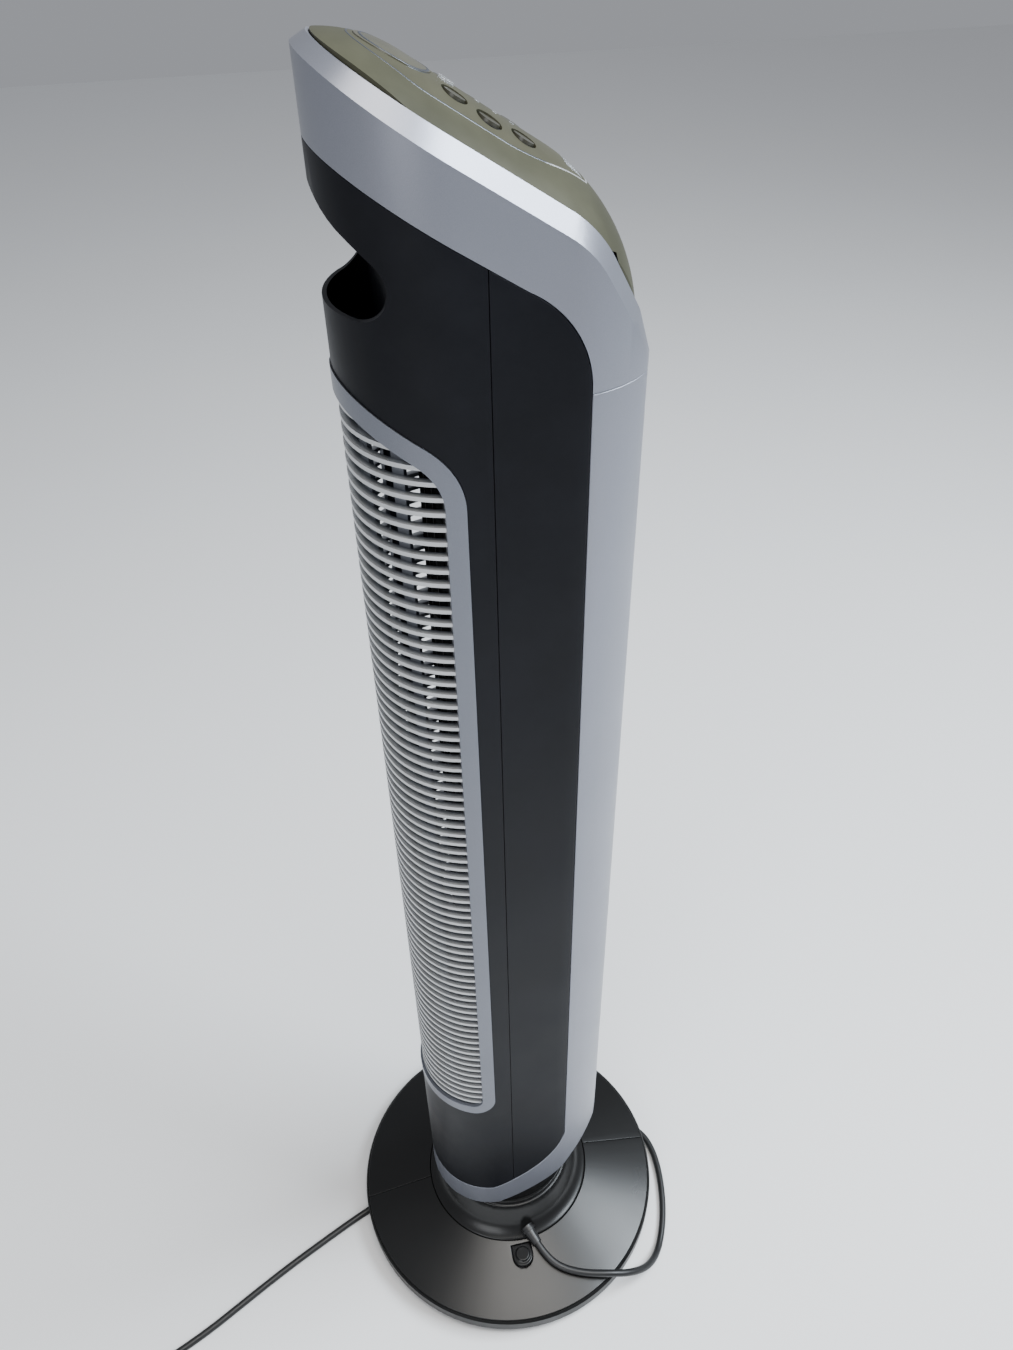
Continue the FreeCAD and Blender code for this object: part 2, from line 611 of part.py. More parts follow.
def fascia_plan(gap):
    return [
        ("31 + (%s)" % gap, "22"), ("0", "53 + (%s)" % gap, "-31 - (%s)" % gap),
        ("-31 - (%s)" % gap, "22", "-31 - (%s)" % gap), ("-31 - (%s)" % gap, "-12"),
        ("-13 - (%s)" % gap, "-52 - (%s)" % gap, "-78"),
        ("13 + (%s)" % gap, "-52 - (%s)" % gap, "-40"), ("31 + (%s)" % gap, "-12", "-78")]


def fascia_solid(name, gap, depth, proud="0"):
    """Thin skin of the panel under the inlaid fascia, standing proud of the crown or level."""
    block = padded(name + "_block", "XY_Plane", fascia_plan(gap), 300, lift="collar_seam")
    top = common(name + "_top", block, crown(name + "_skin", "-(%s)" % proud))
    low = common(name + "_low", block, crown(name + "_bed", depth))
    return cut(name, top, low)


def panel_fittings():
    holes = [panel_cylinder("fascia_hole_%d" % n, "button_radius + 1.4", x, y, -8, 16)
             for n, (x, y) in enumerate(BUTTON_PLACES)]
    holes.append(panel_cylinder("fascia_disc_hole", "18.2", 0, 33, -8, 16))
    holes.append(panel_cylinder("fascia_lens_hole", "4.2", 0, 11, -8, 16))
    holes += [panel_cylinder("dot_hole_%d" % n, 1.3, 0, y, -8, 16)
              for n, y in enumerate(LAMP_PLACES)]
    holes.append(box("fascia_window", 25, 8, 60, x=0, y=-46.5, z=1020))
    part("panel_fascia", cut("fascia", fascia_solid("fascia_skin", "0", "0.9"), *holes))
    part("display_disc", common("disc", panel_cylinder("disc_edge", 18, 0, 33, -12, 24),
                                fascia_solid("disc_skin", "0", "0.9", proud="0.4")))
    lens = panel_cylinder("lens", 4, 0, 11, -0.9, 2.0)
    dots = [panel_cylinder("lamp_dot_%d" % n, 1.3, 0, y, -0.9, 1.2)
            for n, y in enumerate(LAMP_PLACES)]
    window_block = box("window_block", 24.4, 7.4, 60, x=0, y=-46.5, z=1020)
    receiver = common("receiver", window_block, fascia_solid("receiver_skin", "0", "0.95"))
    part("panel_windows", group("window_set", lens, receiver, *dots))
    rings = []
    for n, (x, y) in enumerate(BUTTON_PLACES):
        rim = panel_cylinder("surround_rim_%d" % n, "button_radius + 1.3", x, y, -6, 4.8)
        bore = panel_cylinder("surround_bore_%d" % n, "button_radius + button_gap", x, y, -9, 16)
        rings.append(cut("surround_%d" % n, rim, bore))
        part(BUTTON_NAMES[n], panel_cylinder(BUTTON_NAMES[n] + "_cap", "button_radius", x, y,
                                             "button_proud - button_depth", "button_depth"))
    part("button_surrounds", group("surround_set", *rings))
    board = doc.addObject("Part::Box", "board")
    board.Length = 74
    board.Width = 86
    board.Height = 1.6
    tilt = size("tilt")
    board.Placement = Placement(Vector(0, 0, 0), Rotation(Vector(1, 0, 0), tilt))
    place(board, -37, "-42 * cos(tilt) + 12 * sin(tilt) - 6",
          "crown_height - 12 * cos(tilt) - 45 * sin(tilt) - 6")
    part("control_board", board)
    switches = [panel_cylinder("switch_%d" % n, 2.6, x, y, "button_proud - button_depth - 4.6", 3.0)
                for n, (x, y) in enumerate(BUTTON_PLACES)]
    part("tact_switches", group("switch_set", *switches))


# ---- grilles and duct --------------------------------------------------------------------

def plan_band(name, outside, inside, foot, top):
    """Upright band that follows the column's plan between two insets."""
    return cut(name, plan_prism(name + "_out", outside, foot=foot, top=top),
               plan_prism(name + "_in", inside, foot="(%s) - 1" % foot, top="(%s) + 1" % top))


def rear_grille():
    ring = plan_band("surround_band", "-0.8", "5", "intake_foot - 5", "collar_seam + 20")
    outline = side_slab("surround_outline", intake_outline("0"))
    void = side_slab("surround_void", intake_outline("intake_rim"))
    part("intake_surround", cut("surround", common("surround_raw", ring, outline), void))

    slats = stacked_band("slats", "1.2", "1.2 + slat_depth", "intake_foot + intake_rim + 5.8",
                         "slat_count")
    ribs = []
    for n, turn in enumerate((-51, -25, 0, 25, 51)):
        bar = box("rib_bar_%d" % n, "rib_width", 30, 700, x=0, y=0, z="intake_foot")
        bar.Placement = Placement(Vector(0, 0, 0), Rotation(Vector(0, 0, 1), turn))
        reach = "(column_radius - 8)"
        place(bar, "-%s * sin(%d) - rib_width / 2 * cos(%d) + 15 * sin(%d)" % (reach, turn, turn, turn),
              "rear_centre + %s * cos(%d) - rib_width / 2 * sin(%d) - 15 * cos(%d)"
              % (reach, turn, turn, turn), "intake_foot")
        ribs.append(bar)
    rib_band = plan_band("rib_band", "1.2 + slat_depth", "1.2 + slat_depth + rib_depth",
                         "intake_foot", "collar_seam")
    bars = common("rib_set", rib_band, fuse("rib_bars", *ribs))
    inside = side_slab("grille_outline", intake_outline("intake_rim"))
    part("intake_grille", common("intake_bars", fuse("intake_lattice", slats, bars), inside))


def stacked_band(name, outside, inside, foot, count):
    """Slats in a column: one band of the plan, repeated upwards at the slats' pitch."""
    body = doc.addObject("PartDesign::Body", name)
    sketch = sketch_on(body, name + "_outline", "XY_Plane", plan(outside, outside))
    pad = body.newObject("PartDesign::Pad", name + "_pad")
    pad.Profile = sketch
    bind(pad, "Length", "slat_thickness")
    hollow = sketch_on(body, name + "_hollow", "XY_Plane", plan(inside, inside))
    pocket = body.newObject("PartDesign::Pocket", name + "_pocket")
    pocket.Profile = hollow
    pocket.Type = "ThroughAll"
    pocket.Midplane = True
    body.Tip = pocket
    bind(body, "Placement.Base.z", "%s - slat_thickness / 2" % foot)
    doc.recompute()
    rows = [body]
    for n in range(1, int(size(count))):
        link = doc.addObject("Part::Compound", "%s_%d" % (name, n))
        link.Links = [body]
        place(link, 0, 0, "%d * slat_pitch" % n)
        rows.append(link)
    return group(name + "_stack", *rows)


def front_grille():
    block = box("outlet_block", "2 * front_opening - 0.6", 60, "collar_seam - outlet_foot - 1",
                x=0, y=-90, z="outlet_foot + 0.3")
    hole = box("outlet_hole", "2 * front_opening - 12", 60, "collar_seam - outlet_foot - 13",
               x=0, y=-90, z="outlet_foot + 6.3")
    band = plan_band("outlet_band", "0.8", "6.4", "outlet_foot", "collar_seam")
    frame = cut("outlet_frame", common("outlet_plate", band, block), hole)
    slats = stacked_band("louvres", "1.6", "1.6 + slat_depth", "outlet_foot + 12", "louvre_count")
    uprights = [box("outlet_rib_%d" % n, 3, 60, "collar_seam - outlet_foot - 8", x=x, y=-90,
                    z="outlet_foot + 4") for n, x in enumerate((-14, 0, 14))]
    rib_band = plan_band("outlet_rib_band", "1.6 + slat_depth", "4.6 + slat_depth", "outlet_foot",
                         "collar_seam")
    bars = common("outlet_ribs", rib_band, fuse("outlet_rib_bars", *uprights))
    louvres = common("outlet_louvres", fuse("outlet_lattice", slats, bars),
                     box("outlet_reach", "2 * front_opening - 10", 60,
                         "collar_seam - outlet_foot - 8", x=0, y=-90, z="outlet_foot + 4"))
    part("outlet_grille", fuse("outlet", frame, louvres))


def wall_between(name, start, end, bulge, thickness=2):
    """Upright curved wall; start and end are plan points, bulge the wall's radius."""
    corners = [(start[0], start[1]), (end[0], end[1], bulge),
               (end[0] - math.copysign(thickness, end[0]), end[1]),
               (start[0] - math.copysign(thickness, start[0]), start[1], -bulge)]
    return padded(name, "XY_Plane", corners, "blower_top - blower_foot + 6", lift="blower_foot - 3")


def duct():
    part("scroll_guide", wall_between("scroll", (48, 16), (39, -72), 85))
    part("vortex_tongue", wall_between("tongue_wall", (-49, 3), (-39, -72), -120))
    wire_way = cylinder("wire_way", 3, 900, x=-53.5, y=9, z=150)
    plate = plan_prism("duct_plate", "wall", foot="duct_floor_height",
                       top="duct_floor_height + 3.5")
    hole = cylinder("duct_hole", 12, 20, y="blower_y", z="blower_foot - 50")
    part("duct_floor", cut("duct_floor_cut", plate, hole, wire_way))
    return wire_way


# ---- blower and motor ---------------------------------------------------------------------

def blower():
    body = doc.addObject("PartDesign::Body", "blades")
    root = 33
    lean = 6
    sketch = sketch_on(body, "blade_outline", "XY_Plane", [
        ("blower_radius - 0.6", "%d" % lean), (root, 0, 13), (root, -1.2),
        ("blower_radius - 0.6", "%d - 1.2" % lean, -13)])
    pad = body.newObject("PartDesign::Pad", "blade_pad")
    pad.Profile = sketch
    bind(pad, "Length", "blower_top - blower_foot")
    ring = body.newObject("PartDesign::PolarPattern", "blade_ring")
    ring.Originals = [pad]
    ring.Axis = (sketch, ["N_Axis"])
    ring.Angle = 360
    bind(ring, "Occurrences", "blade_count")
    body.Tip = ring
    place(body, 0, "blower_y", "blower_foot")
    hub_hole = 5
    discs = []
    for n in range(int(size("disc_count"))):
        z = "blower_foot + %d * (blower_top - blower_foot - 2.4) / (disc_count - 1)" % n
        disc = cylinder("disc_%d" % n, "blower_radius", 2.4, y="blower_y", z=z)
        bore = cylinder("disc_bore_%d" % n, hub_hole if n in (0, int(size("disc_count")) - 1) else 30,
                        6, y="blower_y", z=z + " - 2")
        discs.append(cut("wheel_disc_%d" % n, disc, bore))
    part("blower_wheel", fuse("wheel", body, *discs))
    hub = cylinder("hub_boss", 9, 14, y="blower_y", z="blower_foot + 2.4")
    hub_bore = cylinder("hub_bore", "shaft_radius", 40, y="blower_y", z="blower_foot - 10")
    neck = cylinder("hub_neck", 5, 12, y="blower_y", z="blower_foot - 6")
    part("wheel_hub", cut("hub", fuse("hub_raw", hub, neck), hub_bore))
    stub = cylinder("stub_pin", "shaft_radius", 24, y="blower_y", z="blower_top - 6")
    boss = cylinder("stub_boss", 5, 8, y="blower_y", z="blower_top - 8")
    part("upper_stub_shaft", fuse("stub", stub, boss))


def motor(wire_way):
    y = "blower_y"
    foot = "motor_foot"
    top = "motor_foot + motor_height"
    plate = plan_prism("motor_plate", "wall", foot="motor_foot - 4", top="motor_foot")
    hole = cylinder("motor_plate_hole", 14, 20, y=y, z="motor_foot - 10")
    reach = box("motor_plate_reach", 200, 140, 60, x=0, y="70 - 62", z="motor_foot - 20")
    part("motor_bracket", cut("bracket", common("motor_plate_trim", plate, reach), hole, wire_way))
    can = cylinder("can_outer", "motor_radius", "motor_height", y=y, z=foot)
    can_inner = cylinder("can_inner", "motor_radius - 2.5", "motor_height - 6", y=y, z=foot + " + 3")
    seat = cylinder("bearing_seat", 9, 100, y=y, z=foot + " - 10")
    part("motor_shell", cut("motor_can", can, can_inner, seat))
    stator = cylinder("stator_outer", "motor_radius - 2.5", 26, y=y, z=foot + " + 16")
    stator_bore = cylinder("stator_bore", 21, 60, y=y, z=foot)
    part("motor_stator", cut("stator", stator, stator_bore))
    coils = []
    for n in range(2):
        z = foot + (" + 8" if n == 0 else " + 42")
        ring = cylinder("winding_out_%d" % n, 31, 8, y=y, z=z)
        bore = cylinder("winding_in_%d" % n, 22.5, 20, y=y, z=z + " - 5")
        coils.append(cut("winding_%d" % n, ring, bore))
    part("motor_windings", group("winding_pair", *coils))
    rotor = cylinder("rotor_core", 20.4, 26, y=y, z=foot + " + 16")
    shaft = cylinder("rotor_shaft", "shaft_radius", "blower_foot + 14 - motor_foot + 3", y=y,
                     z=foot + " - 3")
    part("motor_rotor", fuse("rotor", rotor, shaft))
    rings = []
    for n, z in enumerate((foot, top + " - 3")):
        race = cylinder("race_%d" % n, 9, 3, y=y, z=z)
        bore = cylinder("race_bore_%d" % n, "shaft_radius + running_gap", 9, y=y, z=z + " - 3")
        rings.append(cut("bearing_%d" % n, race, bore))
    beam = common("holder_beam", plan_prism("holder_plan", "wall", foot="blower_top + 5",
                                            top="blower_top + 10"),
                  box("holder_reach", 200, 50, 100, x=0, y="blower_y", z="blower_top - 30"))
    seat = cylinder("holder_seat", 8, 30, y=y, z="blower_top")
    part("upper_bearing_holder", cut("holder", beam, seat, wire_way))
    race = cylinder("upper_race", 8, 5, y=y, z="blower_top + 5")
    bore = cylinder("upper_race_bore", "shaft_radius + running_gap", 12, y=y, z="blower_top + 2")
    rings.append(cut("bearing_2", race, bore))
    part("shaft_bearings", group("bearing_set", *rings))


def underside():
    curve = side_slab("sole_outer", under_curve("2.6"))
    hollow = side_slab("sole_inner", under_curve())
    band = cut("sole_band", common("sole_raw", plan_prism("sole_plan", "wall", foot=60, top=300),
                                   curve), hollow)
    hole = cylinder("sole_hole", "drum_radius - drum_wall", 200, z=60)
    part("underside_panel", cut("sole", band, hole, *screw_shanks("sole_bore", 1.5)))
    shanks = screw_shanks("housing_screw_shank", 1.5, 12, "column_foot")
    heads = [cylinder("housing_screw_head_%d" % n, 3.4, 1.8, x=x, y=y, z="column_foot - 1.8")
             for n, (x, y) in enumerate(SCREW_PLACES)]
    part("housing_screws", group("housing_screw_set", *[
        fuse("housing_screw_%d" % n, *pair) for n, pair in enumerate(zip(shanks, heads))]))


SCREW_PLACES = [(-28, 59), (0, 69), (28, 59)]


def screw_shanks(name, radius, height=30, z=75):
    return [cylinder("%s_%d" % (name, n), radius, height, x=x, y=y, z=z)
            for n, (x, y) in enumerate(SCREW_PLACES)]


def loom():
    part("wiring_loom", cylinder("loom_riser", 1.8, 880, x=-53.5, y=9, z="drum_floor + 60"))


# ---- mains cord ---------------------------------------------------------------------------

def cord_tube(name, route):
    """Tube along straight runs joined by tangent arcs, as large as the runs allow."""
    points = [Vector(*point) for point in route]
    edges = []
    here = points[0]
    radii = []
    for before, corner, after in zip(points, points[1:], points[2:]):
        run_in = (corner - before).normalize()
        run_out = (after - corner).normalize()
        shorter = min((corner - before).Length, (after - corner).Length)
        half_turn = run_in.getAngle(run_out) / 2
        reach = 0.45 * shorter
        radii.append(reach / math.tan(half_turn))
        start = corner - run_in * reach
        end = corner + run_out * reach
        inward = (run_out - run_in).normalize()
        middle = corner + inward * (radii[-1] / math.cos(half_turn) - radii[-1])
        edges.append(Part.LineSegment(here, start).toShape())
        edges.append(Part.Arc(start, middle, end).toShape())
        here = end
    edges.append(Part.LineSegment(here, points[-1]).toShape())
    path = Part.Wire(edges)
    first = (points[1] - points[0]).normalize()
    section = Part.Wire([Part.makeCircle(size("cord_radius"), points[0], first)])
    tube = path.makePipeShell([section], True, False)
    thing = doc.addObject("Part::Feature", name)
    thing.Shape = tube
    print(name, "length %.0f mm," % path.Length, "arc radii",
          " ".join("%.0f" % radius for radius in radii),
          "volume ratio %.3f" % (tube.Volume / (path.Length * math.pi * size("cord_radius") ** 2)))
    return thing


def mains_cord():
    part("mains_cord_run", cord_tube("cord_run", CORD_ROUTE))
    part("mains_cord_tail", cord_tube("cord_tail", TAIL_ROUTE))
    outer = cylinder("coil_outer", "coil_radius + 2 * cord_radius", "4 * cord_radius", x="coil_x",
                     y="coil_y", z=0.1)
    inner = cylinder("coil_inner", "coil_radius - 2 * cord_radius", "6 * cord_radius", x="coil_x",
                     y="coil_y", z=-5)
    coil = cut("coil", outer, inner)
    part("mains_cord_coil", coil)
    band = box("tie_band", 9, "4 * cord_radius + 2.4", "4 * cord_radius + 1.2", x="coil_x",
               y="coil_y + coil_radius", z=0.1)
    part("cord_tie", cut("tie", band, coil))
    tip = Vector(*TAIL_ROUTE[-1])
    away = (tip - Vector(*TAIL_ROUTE[-2])).normalize()
    turn = math.degrees(math.atan2(away.y, away.x))
    shell = plug_block("plug_shell", 22, 24, 14, tip + away * 14, turn)
    boot = cone("plug_boot", 5.4, 4.2, 14, x=tip.x + away.x * 14, y=tip.y + away.y * 14, z=7.1,
                axis=(-away.x, -away.y, 0))
    part("mains_plug", fuse("plug", shell, boot))
    pins = []
    for n, side in enumerate((-6.3, 6.3)):
        foot = tip + away * 36 + Vector(-away.y, away.x, 0) * side
        pins.append(cylinder("plug_pin_%d" % n, 2.2, 18, x=foot.x, y=foot.y, z=7.1,
                             axis=(away.x, away.y, 0)))
    part("plug_pins", group("plug_pin_pair", *pins))


def plug_block(name, length, width, height, start, turn):
    """Block whose near end is centred on a point of the floor plan, turned about Z."""
    block = doc.addObject("Part::Box", name)
    for prop, value in (("Length", length), ("Width", width), ("Height", height)):
        bind(block, prop, value)
    angle = math.radians(turn)
    block.Placement = Placement(Vector(0, 0, 0), Rotation(Vector(0, 0, 1), turn))
    return place(block, start.x + width / 2 * math.sin(angle), start.y - width / 2 * math.cos(angle),
                 0.1)


# ---- build, test and write ------------------------------------------------------------------

def build():
    neck, left_cover = base_parts()
    latch_and_gland(neck, left_cover)
    swing_parts()
    turntable()
    shells()
    collar_and_panel()
    panel_fittings()
    rear_grille()
    front_grille()
    wire_way = duct()
    blower()
    motor(wire_way)
    underside()
    loom()
    mains_cord()


def write_parts():
    """Stop on any failed object or bad shape, then write one file for each sub-part."""
    doc.recompute()
    for thing in doc.Objects:
        if "Invalid" in thing.State or "Error" in thing.State:
            raise RuntimeError("%s failed: %s" % (thing.Name, thing.State))
    for label, thing in PARTS:
        if thing.Shape.isNull() or not thing.Shape.isValid():
            raise RuntimeError("%s has a bad shape" % label)
    os.makedirs("parts", exist_ok=True)
    for label, thing in PARTS:
        thing.Shape.exportStep("parts/%s.step" % label)
    print(len(PARTS), "parts written")


build()
write_parts()
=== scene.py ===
"""Looks of the tower fan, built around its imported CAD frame. Metres, +Z up, front faces -Y."""
import json
import math

import bmesh
import bpy
from mathutils import Matrix, Vector

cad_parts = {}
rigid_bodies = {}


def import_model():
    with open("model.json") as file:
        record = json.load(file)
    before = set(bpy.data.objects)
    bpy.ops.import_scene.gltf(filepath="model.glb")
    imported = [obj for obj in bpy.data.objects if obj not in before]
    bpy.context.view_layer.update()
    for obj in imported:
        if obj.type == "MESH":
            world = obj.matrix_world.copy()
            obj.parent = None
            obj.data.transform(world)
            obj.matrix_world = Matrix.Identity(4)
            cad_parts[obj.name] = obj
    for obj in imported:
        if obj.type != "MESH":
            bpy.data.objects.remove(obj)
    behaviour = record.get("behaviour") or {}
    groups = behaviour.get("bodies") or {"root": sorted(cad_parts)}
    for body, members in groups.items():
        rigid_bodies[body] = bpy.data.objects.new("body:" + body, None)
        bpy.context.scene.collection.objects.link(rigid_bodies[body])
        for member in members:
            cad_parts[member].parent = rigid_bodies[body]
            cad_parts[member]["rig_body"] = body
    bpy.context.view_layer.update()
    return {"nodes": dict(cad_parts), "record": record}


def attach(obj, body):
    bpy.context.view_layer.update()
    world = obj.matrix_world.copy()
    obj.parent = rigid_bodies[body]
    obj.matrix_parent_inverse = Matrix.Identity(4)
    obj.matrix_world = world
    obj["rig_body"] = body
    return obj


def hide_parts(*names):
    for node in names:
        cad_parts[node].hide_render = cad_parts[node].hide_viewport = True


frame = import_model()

MM = 0.001
FLOOR_HALF = 6.0


# ---- camera, light and floor ----------------------------------------------------------------

def make_camera():
    """Looks down from above the fan's left rear, as the fan was seen."""
    place = Vector((-0.5271, 0.0929, 1.1926))
    heading, down, roll = math.radians(-11.14), math.radians(40.45), math.radians(-1.28)
    data = bpy.data.cameras.new("camera")
    data.lens = 28.23
    data.sensor_width = 36.0
    data.clip_start = 0.01
    camera = bpy.data.objects.new("camera", data)
    bpy.context.scene.collection.objects.link(camera)
    turn = (Matrix.Rotation(heading - math.pi / 2, 4, "Z")
            @ Matrix.Rotation(math.pi / 2 - down, 4, "X") @ Matrix.Rotation(roll, 4, "Z"))
    camera.matrix_world = Matrix.Translation(place) @ turn
    bpy.context.scene.camera = camera


def area_light(name, place, aim, size, power, colour=(1, 1, 1)):
    data = bpy.data.lights.new(name, "AREA")
    data.shape = "RECTANGLE"
    data.size, data.size_y = size
    data.energy = power
    data.color = colour
    lamp = bpy.data.objects.new(name, data)
    bpy.context.scene.collection.objects.link(lamp)
    lamp.location = place
    lamp.rotation_euler = (Vector(aim) - Vector(place)).to_track_quat("-Z", "Y").to_euler()


def make_light():
    world = bpy.data.worlds.new("studio")
    bpy.context.scene.world = world
    world.use_nodes = True
    back = world.node_tree.nodes["Background"]
    back.inputs["Color"].default_value = (0.9, 0.93, 1.0, 1)
    back.inputs["Strength"].default_value = 0.36
    area_light("front_high", (-0.3, -1.6, 2.4), (0, 0, 1.05), (1.5, 1.0), 125, (0.85, 0.93, 1.0))
    area_light("overhead", (-0.55, -0.1, 2.7), (0, 0, 0), (1.3, 1.1), 38, (1.0, 0.97, 0.92))
    area_light("rear_side", (-1.9, 1.3, 1.5), (0, 0, 0.6), (1.2, 1.4), 22, (0.95, 0.97, 1.0))


def make_floor():
    data = bpy.data.meshes.new("floor")
    corners = [(-FLOOR_HALF, -FLOOR_HALF, 0), (FLOOR_HALF, -FLOOR_HALF, 0),
               (FLOOR_HALF, FLOOR_HALF, 0), (-FLOOR_HALF, FLOOR_HALF, 0)]
    data.from_pydata(corners, [], [(0, 1, 2, 3)])
    floor = bpy.data.objects.new("floor", data)
    bpy.context.scene.collection.objects.link(floor)
    data.materials.append(plain_floor())


# ---- materials ------------------------------------------------------------------------------

class Shader:
    """A Principled material with a few procedural layers on it."""

    def __init__(self, name, colour, roughness, metallic=0.0, coat=0.0, specular=0.5):
        self.material = bpy.data.materials.new(name)
        self.material.use_nodes = True
        self.tree = self.material.node_tree
        self.bsdf = self.tree.nodes["Principled BSDF"]
        self.set("Base Color", (*colour, 1))
        self.set("Roughness", roughness)
        self.set("Metallic", metallic)
        self.set("Coat Weight", coat)
        self.set("Coat Roughness", 0.12)
        self.set("Specular IOR Level", specular)
        self.colour = colour
        self.where = self.node("ShaderNodeTexCoord").outputs["Object"]
        self.height = None

    def set(self, socket, value):
        self.bsdf.inputs[socket].default_value = value

    def node(self, kind, **settings):
        made = self.tree.nodes.new(kind)
        for key, value in settings.items():
            setattr(made, key, value)
        return made

    def join(self, out, into):
        self.tree.links.new(out, into)

    def stretched(self, scale):
        mapping = self.node("ShaderNodeMapping")
        mapping.inputs["Scale"].default_value = scale
        self.join(self.where, mapping.inputs["Vector"])
        return mapping.outputs["Vector"]

    def noise(self, size, detail=3.0, rough=0.5, stretch=(1, 1, 1)):
        """Noise whose lumps are about size metres across."""
        made = self.node("ShaderNodeTexNoise")
        made.inputs["Scale"].default_value = 1.0 / size
        made.inputs["Detail"].default_value = detail
        made.inputs["Roughness"].default_value = rough
        self.join(self.stretched(stretch), made.inputs["Vector"])
        return made.outputs["Fac"]

    def ramp(self, value, stops):
        made = self.node("ShaderNodeValToRGB")
        bar = made.color_ramp.elements
        while len(bar) < len(stops):
            bar.new(0.5)
        for element, (spot, colour) in zip(bar, stops):
            element.position = spot
            element.color = (*colour, 1)
        self.join(value, made.inputs["Fac"])
        return made.outputs["Color"]

    def span(self, value, low, high, from_low=0.3, from_high=0.7):
        made = self.node("ShaderNodeMapRange")
        for key, number in (("From Min", from_low), ("From Max", from_high),
                            ("To Min", low), ("To Max", high)):
            made.inputs[key].default_value = number
        self.join(value, made.inputs["Value"])
        return made.outputs["Result"]

    def tint(self, value, other, low=0.3, high=0.7):
        """Base colour drifting between the plain one and another."""
        colour = self.ramp(value, [(low, self.colour), (high, other)])
        self.join(colour, self.bsdf.inputs["Base Color"])
        return self

    def gloss(self, value, low, high):
        self.join(self.span(value, low, high), self.bsdf.inputs["Roughness"])
        return self

    def bump(self, value, depth, strength=1.0):
        made = self.node("ShaderNodeBump")
        made.inputs["Distance"].default_value = depth
        made.inputs["Strength"].default_value = strength
        self.join(value, made.inputs["Height"])
        if self.height is not None:
            self.join(self.height, made.inputs["Normal"])
        self.height = made.outputs["Normal"]
        self.join(self.height, self.bsdf.inputs["Normal"])
        return self


def plain_floor():
    floor = Shader("pale_floor", (0.9, 0.9, 0.9), 0.6)
    return floor.gloss(floor.noise(0.4), 0.55, 0.65).material


def satin_black(name, colour=(0.0042, 0.0046, 0.0066), rough=(0.36, 0.44), specular=0.13):
    """Spark-eroded black moulding with a little dust and handling haze."""
    s = Shader(name, colour, rough[0], specular=specular)
    s.tint(s.noise(0.07, 4, 0.6), tuple(c * 1.5 + 0.001 for c in colour), 0.4, 0.75)
    s.gloss(s.noise(0.035, 4, 0.6), *rough)
    return s.bump(s.noise(0.00035, 1), 0.00001, 0.35).bump(s.noise(0.05, 1), 0.0002, 0.1).material


def gloss_black(name, colour=(0.006, 0.006, 0.006), rough=(0.27, 0.31)):
    s = Shader(name, colour, rough[0], specular=0.4)
    s.tint(s.noise(0.05, 3, 0.5), tuple(c * 1.2 for c in colour), 0.4, 0.8)
    s.gloss(s.noise(0.08, 3, 0.5), *rough)
    return s.bump(s.noise(0.0006, 1), 0.000008, 0.3).bump(s.noise(0.06, 1), 0.0003, 0.15).material


def silver_paint(name, colour=(0.21, 0.22, 0.26), other=(0.25, 0.26, 0.3), rough=(0.3, 0.36)):
    """Fine metallic paint under a satin lacquer."""
    s = Shader(name, colour, rough[0], metallic=0.55, coat=0.1)
    s.tint(s.noise(0.00028, 2, 0.7), other, 0.35, 0.7)
    s.gloss(s.noise(0.05, 3, 0.5), *rough)
    return s.bump(s.noise(0.0003, 1), 0.000008, 0.3).bump(s.noise(0.09, 1), 0.0003, 0.1).material


# Axis and radii of the grille; between these radii the slats' colour is darkened as painted shade.
GRILLE_AXIS = (0, 0.018, 0)
GRILLE_DEEP, GRILLE_OUTER = 0.0535, 0.0575


def grille_paint_with_painted_shade(name):
    """Silver paint on the slats with painted shade: bright on the outer faces, darker and greyer
    on what lies deeper between them.
    """
    s = Shader(name, (0.5, 0.51, 0.52), 0.33, metallic=0.5, coat=0.1)
    centred = s.node("ShaderNodeVectorMath", operation="SUBTRACT")
    centred.inputs[1].default_value = GRILLE_AXIS
    s.join(s.where, centred.inputs[0])
    flat = s.node("ShaderNodeVectorMath", operation="MULTIPLY")
    flat.inputs[1].default_value = (1, 1, 0)
    s.join(centred.outputs["Vector"], flat.inputs[0])
    reach = s.node("ShaderNodeVectorMath", operation="LENGTH")
    s.join(flat.outputs["Vector"], reach.inputs[0])
    # Painted shade: the colour runs from dark at the deep radius to the bright paint at the outer
    # radius.
    outward = s.span(reach.outputs["Value"], 0, 1, GRILLE_DEEP, GRILLE_OUTER)
    s.join(s.ramp(outward, [(0, (0.06, 0.068, 0.085)), (0.25, (0.17, 0.18, 0.2)),
                            (0.85, (0.5, 0.51, 0.52))]), s.bsdf.inputs["Base Color"])
    s.gloss(s.noise(0.05, 3, 0.5), 0.3, 0.38)
    return s.bump(s.noise(0.0003, 1), 0.000008, 0.3).material


def plain_plastic(name, colour, rough=(0.4, 0.55), grain=0.0005):
    s = Shader(name, colour, rough[0])
    s.tint(s.noise(0.02, 3), tuple(c * 1.3 for c in colour), 0.4, 0.8)
    return s.gloss(s.noise(0.01, 3), *rough).bump(s.noise(grain, 1), 0.00002, 0.4).material


def bare_metal(name, colour, rough=(0.22, 0.4), stretch=(1, 1, 12)):
    s = Shader(name, colour, rough[0], metallic=1.0)
    s.tint(s.noise(0.004, 3, 0.6, stretch), tuple(c * 0.8 for c in colour), 0.4, 0.8)
    return s.gloss(s.noise(0.002, 3, 0.6, stretch), *rough).bump(
        s.noise(0.001, 2, 0.5, stretch), 0.00001, 0.4).material


